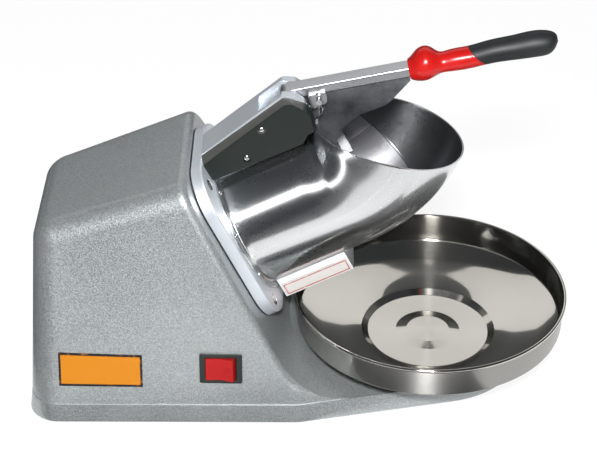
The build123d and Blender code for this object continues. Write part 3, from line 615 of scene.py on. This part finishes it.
HOPPER_MATT = matt_inside("hopper_inside", (0.50, 0.50, 0.53), (0.27, 0.275, 0.285))
hopper.data.materials.append(HOPPER_MATT)
for polygon in hopper.data.polygons:
    inwards = (section_centre(polygon.center) - polygon.center).normalized()
    polygon.material_index = 1 if polygon.normal.dot(inwards) > 0.5 else 0
machine_part(hopper, "stainless", "hopper_shell")

STAINLESS = polished("sheet_stainless", (0.50, 0.51, 0.52), clear=0.18, brushed=0.34, share=0.5)
wear(eased("discharge_guard", 0.0003), STAINLESS)
wear(eased("pusher_plate", 0.0003), STAINLESS)
wear(eased("blade_disc", 0.0003), STAINLESS)


# ---------------------------------------------------------------- Bordered plates
# Two thin printed plates are stuck on: a white one with a red border on the guard, and an orange
# one with a black border on the housing's near side.

LINE_EDGE = 0.0002  # half the width over which a border's line fades


def bordered(name, ground, border, low, high, across, up, band):
    """A plate's plain ground with a border line, at a distance from its edge."""
    plate = Finish(name)
    x, _, z = plate.axes(plate.place())
    u = x * across[0] + z * across[1]
    v = x * up[0] + z * up[1]
    margin = (u - low[0]).at_most(high[0] - u).at_most(v - low[1]).at_most(high[1] - v)
    outer = margin.rises(band[0] - LINE_EDGE, band[0] + LINE_EDGE)
    inner = margin.rises(band[1] - LINE_EDGE, band[1] + LINE_EDGE)
    line = outer - inner
    worn = plate.noise(plate.place(), 300, 3).rises(0.1, 0.5)
    colour = plate.mix(line * worn, ground, border)
    sheen = 0.3 + plate.noise(plate.place(), 40, 3) * 0.15
    return plate.surface(Base_Color=colour, Roughness=sheen, Specular_IOR_Level=0.25)


low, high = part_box("side_label")
ORANGE = bordered(
    "plate_orange",
    ground=(0.33, 0.115, 0.002),
    border=(0.008, 0.008, 0.01),
    low=low.xz,
    high=high.xz,
    across=(1, 0),
    up=(0, 1),
    band=(-0.01, 0.0017),
)
GUARD_PLATE = (0.0493, 0.0035), (0.0603, 0.0585)  # drop and distance along the tube, low and high
shift = (TUBE_FOOT.dot(TUBE_DROP), TUBE_FOOT.dot(TUBE_AXIS))
low, high = [[value + shift[i] for i, value in enumerate(pair)] for pair in GUARD_PLATE]
across, up = (TUBE_DROP.x, TUBE_DROP.z), (TUBE_AXIS.x, TUBE_AXIS.z)
GUARD_WHITE = bordered(
    "guard_white",
    ground=(0.36, 0.345, 0.33),
    border=(0.24, 0.035, 0.03),
    low=low,
    high=high,
    across=across,
    up=up,
    band=(0.0010, 0.0018),
)
wear(eased("guard_label", 0), GUARD_WHITE)
wear(eased("side_label", 0), ORANGE)


# ---------------------------------------------------------------- Bracket and cover
# A cast aluminium bracket carries the lever's hinge. A black moulded cover with a leaning top edge
# is screwed to its near side, and the other black mouldings are of the same plastic.

COVER_FACE, LEAN_TOP = -0.0240, 0.84  # Y of the cover's flat face, and its top edge's slope


def cover_black(name, base, edge_grey):
    """Black moulding, greyer on the leaning edge along its top."""
    stuff = Finish(name)
    where = stuff.place()
    x, y, z = stuff.axes(where)
    # Greyer along the leaning top edge than on the flat face, by an amount the noise varies.
    edge = y.rises(COVER_FACE + 0.0003, COVER_FACE + 0.0012) * (z - x * LEAN_TOP).rises(0.229, 0.233)
    mottle = stuff.noise(where, 90, 4)
    colour = stuff.mix(edge * (0.6 + mottle * 0.5), base, edge_grey)
    lift = stuff.bump(stuff.noise(where, 900, 3), 0.00003, 0.5)
    sockets = {"Base_Color": colour, "Roughness": 0.36 + mottle * 0.15, "Normal": lift}
    return stuff.surface(**sockets, Specular_IOR_Level=0.3)


COVER_BLACK = cover_black("cover_black", (0.008, 0.011, 0.010), (0.055, 0.055, 0.052))
BLACK = moulded("black_moulding", (0.010, 0.013, 0.012), rough=0.42, shine=0.3)
wear(eased("hinge_bracket", 0.0006), CAST)
wear(eased("cover_near", 0.0008), COVER_BLACK)
for node in ("interlock_switch", "cord_inlet", "cooling_fan", "terminal_block", "switch_frame"):
    wear(eased(node, 0.0003), BLACK)


# ---------------------------------------------------------------- Pan-head screws
# Small cross-recessed steel screws hold the cover and the hopper's flange. They are set in by a
# node tree, each head turned at random.


def grown(tree, kind, settings=None, **sockets):
    """Adds a geometry node; a socket is given as a value or as another node's output."""
    node = tree.nodes.new(kind)
    for name, setting in (settings or {}).items():
        setattr(node, name, setting)
    for name, given in sockets.items():
        socket = node.inputs[name.replace("_", " ")]
        if isinstance(given, bpy.types.NodeSocket):
            tree.links.new(given, socket)
        else:
            socket.default_value = given
    return node


def screw_tree():
    tree = bpy.data.node_groups.new("pan_head_screws", "GeometryNodeTree")
    tree.interface.new_socket("Geometry", in_out="OUTPUT", socket_type="NodeSocketGeometry")
    for name, kind in (
        ("Points", "Geometry"),
        ("Head Radius", "Float"),
        ("Head Height", "Float"),
        ("Recess Width", "Float"),
        ("Material", "Material"),
        ("Seed", "Int"),
    ):
        tree.interface.new_socket(name, in_out="INPUT", socket_type="NodeSocket" + kind)
    given = tree.nodes.new("NodeGroupInput").outputs
    radius, height, width = given["Head Radius"], given["Head Height"], given["Recess Width"]

    dome = grown(tree, "GeometryNodeMeshUVSphere", Segments=32, Rings=16, Radius=1.0).outputs[0]
    size = grown(tree, "ShaderNodeCombineXYZ", X=radius, Y=radius, Z=height).outputs[0]
    head = grown(tree, "GeometryNodeTransform", Geometry=dome, Scale=size).outputs[0]
    top = grown(tree, "ShaderNodeCombineXYZ", Z=height).outputs[0]
    arms = []
    for one, two in ((width, radius), (radius, width)):
        arm = grown(tree, "ShaderNodeCombineXYZ", X=one, Y=two, Z=height).outputs[0]
        block = grown(tree, "GeometryNodeMeshCube", Size=arm).outputs[0]
        arms.append(grown(tree, "GeometryNodeTransform", Geometry=block, Translation=top).outputs[0])
    recessed = grown(tree, "GeometryNodeMeshBoolean", {"operation": "DIFFERENCE", "solver": "EXACT"})
    tree.links.new(head, recessed.inputs["Mesh 1"])
    for arm in arms:
        tree.links.new(arm, recessed.inputs["Mesh 2"])

    kind = {"data_type": "FLOAT_VECTOR"}
    axis = grown(tree, "GeometryNodeInputNamedAttribute", kind, Name="axis").outputs[0]
    upright = grown(tree, "FunctionNodeAlignRotationToVector", {"axis": "Z"}, Vector=axis).outputs[0]
    turn = grown(tree, "FunctionNodeRandomValue", {"data_type": "FLOAT"}, Seed=given["Seed"])
    turn.inputs[3].default_value = pi
    angle = turn.outputs[1]
    spin = grown(tree, "FunctionNodeAxisAngleToRotation", Axis=(0, 0, 1), Angle=angle).outputs[0]
    way = grown(
        tree,
        "FunctionNodeRotateRotation",
        {"rotation_space": "LOCAL"},
        Rotation=upright,
        Rotate_By=spin,
    )
    heads = grown(
        tree,
        "GeometryNodeInstanceOnPoints",
        Points=given["Points"],
        Instance=recessed.outputs[0],
        Rotation=way.outputs[0],
    )
    real = grown(tree, "GeometryNodeRealizeInstances", Geometry=heads.outputs[0]).outputs[0]
    steel = grown(tree, "GeometryNodeSetMaterial", Geometry=real, Material=given["Material"]).outputs[0]
    tree.links.new(steel, tree.nodes.new("NodeGroupOutput").inputs[0])
    return tree


def screws_at(name, spots, **inputs):
    """Screws at (place, axis) pairs, as one plain mesh."""
    mesh = bpy.data.meshes.new(name)
    mesh.from_pydata([place for place, _ in spots], [], [])
    axes = mesh.attributes.new("axis", "FLOAT_VECTOR", "POINT")
    axes.data.foreach_set("vector", [value for _, axis in spots for value in axis])
    piece = put(name, mesh)
    setting = piece.modifiers.new("screws", "NODES")
    setting.node_group = screw_tree()
    for item in setting.node_group.interface.items_tree:
        if item.in_out == "INPUT" and item.name in inputs:
            setting[item.identifier] = inputs[item.name]
    return settled(piece, 40)


COVER_SCREWS = [(-0.0293, 0.2145), (-0.0404, 0.1905)]  # X and Z of each
COVER_SEAT = -0.0224  # Y of the face that they sit on
FLANGE_SCREWS = [70, 110, -70, -110, 148, -148]  # degrees round the tube, from its underside
FLANGE_PITCH = 0.0545  # their distance from the tube's axis
spots = [((x, COVER_SEAT, z), (0, -1, 0)) for x, z in COVER_SCREWS]
for angle in FLANGE_SCREWS:
    around_tube = TUBE_DROP * cos(radians(angle)) + Vector((0, sin(radians(angle)), 0))
    spots.append((TUBE_FOOT + around_tube * FLANGE_PITCH + TUBE_AXIS * FLANGE_TOP, TUBE_AXIS))
sizes = {"Head Radius": 0.0024, "Head Height": 0.0013, "Recess Width": 0.0007}
screws = screws_at("pan_head_screws", spots, **sizes, Material=SCREW, Seed=4)
machine_part(screws, "screw_steel", "cover_screws", "hopper_screws")


# ---------------------------------------------------------------- Motor and spindle
# A fan-cooled motor in a painted can drives a ground steel shaft in two ball bearings. Its iron is
# stacked sheet, its windings are lacquered copper, and the shaft's end carries the blade disc.

PIN_STEEL = brushed("pin_steel", (0.68, 0.68, 0.70), rough=0.24)
BRONZE = brushed("bronze", (0.52, 0.34, 0.16), rough=0.35)
LAMINATION = brushed("laminated_iron", (0.22, 0.22, 0.23), rough=0.5)
WINDING = moulded(
    "lacquered_wire", (0.45, 0.16, 0.05), rough=0.3, grain=0.0002, scale=300, metallic=0.6
)
CAN = moulded("can_paint", (0.10, 0.105, 0.11), rough=0.4)
WHITE_PLASTIC = moulded("capacitor_white", (0.74, 0.74, 0.71), rough=0.4)
for node in ("hinge_pin", "link_pin", "split_pin", "spindle_shaft", "front_bearing", "rear_bearing"):
    wear(eased(node, 0.0002), PIN_STEEL)
for node in ("motor_front_cap", "motor_rear_cap"):
    wear(eased(node, 0.0004), CAST)
wear(eased("nose_bush", 0.0002), BRONZE)
wear(eased("stator_core", 0), LAMINATION)
wear(eased("rotor_core", 0), LAMINATION)
wear(eased("stator_windings", 0), WINDING)
wear(eased("motor_can", 0), CAN)
wear(eased("capacitor_strap", 0), ZINC)
wear(eased("run_capacitor", 0), WHITE_PLASTIC)
wear(eased("shaving_blades", 0.0001), SCREW)


# ---------------------------------------------------------------- Lever
# A machined bar turns on the hinge pin and carries a flat web with the pusher plate. Its end is
# dipped twice, in glossy red and in matt black.

LEVER_STEEL = brushed("lever_steel", (0.66, 0.67, 0.69), rough=0.30, along=(1, 8, 8))
for node in ("lever_bar", "hinge_lug"):
    wear(eased(node, 0.0004), LEVER_STEEL)


def stained(name, base, dark, rough):
    """Plain sheet with water marks and bright specks of limescale."""
    steel = Finish(name)
    where = steel.place()
    cloud = steel.noise(where, 60, 5, 0.65)
    scale = steel.noise(where, 260, 4, 0.7).rises(0.62, 0.70)
    specks = scale * steel.noise(where, 35, 2).rises(0.45, 0.6)
    colour = steel.mix((cloud * 1.6 - 0.4 + specks).at_most(1).at_least(0), dark, base)
    lift = steel.bump(cloud + specks * 0.4, 0.0002, 0.4)
    sheen = rough + cloud * 0.2 + specks * 0.2
    return steel.surface(Base_Color=colour, Metallic=0.9, Roughness=sheen, Normal=lift)


WEB_STEEL = stained("stained_steel", (0.34, 0.35, 0.37), (0.075, 0.08, 0.09), rough=0.24)
wear(eased("pusher_web", 0.0003), WEB_STEEL)
RED_DIP = moulded(
    "red_dip", (0.30, 0.004, 0.003), rough=0.25, grain=0.00010, scale=120, coat=0.08, shine=0.3
)
BLACK_DIP = moulded(
    "black_dip", (0.007, 0.0085, 0.0095), rough=0.5, grain=0.00008, scale=260, shine=0.3
)
wear(eased("grip_red", 0.0004), RED_DIP)
wear(eased("grip_black", 0.0004), BLACK_DIP)


# ---------------------------------------------------------------- Rocker switch
# A red moulded key turns in the black frame that is snapped into the housing's near side. It
# switches the motor.

ROCKER_RED = moulded(
    "rocker_red", (0.22, 0.002, 0.002), rough=0.3, grain=0.00001, scale=500, shine=0.2
)
wear(eased("switch_rocker", 0.0003), ROCKER_RED)


# ---------------------------------------------------------------- Bowl
# One spun stainless sheet, mirror polished: a flat floor with a raised disc, a step, a shallow
# cone, an upright band and a rolled rim. It stands loose on the platform.


def rounded(corners, steps=5):
    """A line through (u, v, radius) corners, with an arc at each corner that has a radius."""
    points = []
    for i, (u, v, radius) in enumerate(corners):
        here = Vector((u, v))
        if not radius:
            points.append(here)
            continue
        back = (Vector(corners[i - 1][:2]) - here).normalized()
        on = (Vector(corners[i + 1][:2]) - here).normalized()
        half = back.angle(on) / 2
        centre = here + (back + on).normalized() * radius / sin(half)
        first = (here + back * radius / tan(half) - centre).normalized()
        last = (here + on * radius / tan(half) - centre).normalized()
        points += [centre + first.slerp(last, k / steps) * radius for k in range(steps + 1)]
    return points


def lathe(profile, centre_x, turns=192):
    angles = [2 * pi * i / turns for i in range(turns)]
    rows = [[(centre_x + r * cos(a), r * sin(a), z) for a in angles] for r, z in profile]
    turned = sheet_of(rows, closed_ring=True)
    bmesh.ops.remove_doubles(turned, verts=turned.verts, dist=1e-6)
    return turned


low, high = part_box("bowl")
BOWL_X, SEAT, RIM = (low[0] + high[0]) / 2, low[2], high[2] - low[2]
BOWL_RADIUS = (high[0] - low[0]) / 2
THIN, BEAD = 0.0009, 0.0015
DISC, DISC_SLOPE, DISC_RISE = 0.0172, 0.0090, 0.0017
FLOOR, STEP, STEP_RISE = 0.0482, 0.0050, 0.0034
CONE_RISE, BAND_FOOT = 0.0175, 0.1043
CONE_SLOPES = [(0.0, 0.265), (0.3, 0.20), (0.6, 0.22), (1.0, 0.42)]  # at shares of its run
DISC_ROUND, FLOOR_ROUND, STEP_ROUND, BAND_ROUND = 0.004, 0.0012, 0.0016, 0.0022
BAND_EDGE = 0.0012  # how far inside its foot the band's own finish begins


def cone_points(steps=16):
    """The cone's corners: its slope dips after the step and grows towards the band."""
    run, rise = BAND_FOOT - FLOOR - STEP, CONE_RISE - STEP_RISE
    shares = [(k + 0.5) / steps for k in range(steps)]
    slopes = []
    for share in shares:
        pairs = zip(CONE_SLOPES, CONE_SLOPES[1:])
        (a, one), (b, two) = next(pair for pair in pairs if share <= pair[1][0])
        slopes.append(one + (two - one) * smooth((share - a) / (b - a)))
    scale, height, points = rise / sum(slopes), STEP_RISE, []
    for k, slope in enumerate(slopes[:-1]):
        height += slope * scale
        points.append((FLOOR + STEP + run * (k + 1) / steps, height, 0))
    return points


under = [
    (0, DISC_RISE, 0),
    (DISC, DISC_RISE, DISC_ROUND),
    (DISC + DISC_SLOPE, 0, DISC_ROUND),
    (FLOOR, 0, FLOOR_ROUND),
    (FLOOR + STEP, STEP_RISE, STEP_ROUND),
    *cone_points(),
    (BAND_FOOT, CONE_RISE, BAND_ROUND),
    (BOWL_RADIUS - BEAD, RIM - 2 * BEAD, 0),
]
curl = filled([pi / 8, pi * 1.4], [14])
bead = [(BOWL_RADIUS - BEAD + BEAD * sin(a), RIM - BEAD - BEAD * cos(a)) for a in curl]
inside = []
for k, (u, v, radius) in enumerate(reversed(under)):
    inside.append((u - THIN * (0.6 if k > 1 else 1), v + THIN, radius))
inside[0] = (BOWL_RADIUS - BEAD - THIN, RIM - 2 * BEAD, 0)
inside[-1] = (0, DISC_RISE + THIN, 0)
profile = [(u, v + SEAT) for u, v in rounded(under) + bead + rounded(inside)]
MIRROR = polished(
    "mirror_stainless", (0.64, 0.62, 0.57), clear=0.05, brushed=0.20, share=0.28, smear=0.02
)
# Painted shade: the band's inside takes a darker copy of the mirror steel, standing in for the dark
# reflections in its far wall.
PAINTED_DARK_WALL = polished(
    "painted_dark_wall_stainless", (0.20, 0.195, 0.185), clear=0.06, brushed=0.22, share=0.35, smear=0.02
)
SATIN = polished("satin_stainless", (0.44, 0.43, 0.41), clear=0.20, brushed=0.36, share=0.6)
bowl = put("bowl_sheet", lathe(profile, BOWL_X), MIRROR)
bowl.data.materials.append(PAINTED_DARK_WALL)
bowl.data.materials.append(SATIN)
# The band's inward faces get the darker copy of the mirror steel, as painted shade.
for polygon in bowl.data.polygons:
    spot = polygon.center - Vector((BOWL_X, 0, 0))
    outwards = polygon.normal.dot(Vector((spot.x, spot.y, 0)).normalized())
    band = spot.xy.length > BAND_FOOT - BAND_EDGE
    if band and outwards > 0.5 and spot.z < SEAT + RIM - 2 * BEAD:
        polygon.material_index = 2
    elif band and outwards < -0.5:
        polygon.material_index = 1
settled(bowl, 40)
grain_across(bowl.data, (BOWL_X, 0, 0))
machine_part(bowl, "bowl_stainless", "bowl", body="bowl")


visual_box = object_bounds()
sizes = {"cad_box": [list(c) for c in cad_box], "visual_box": [list(c) for c in visual_box]}
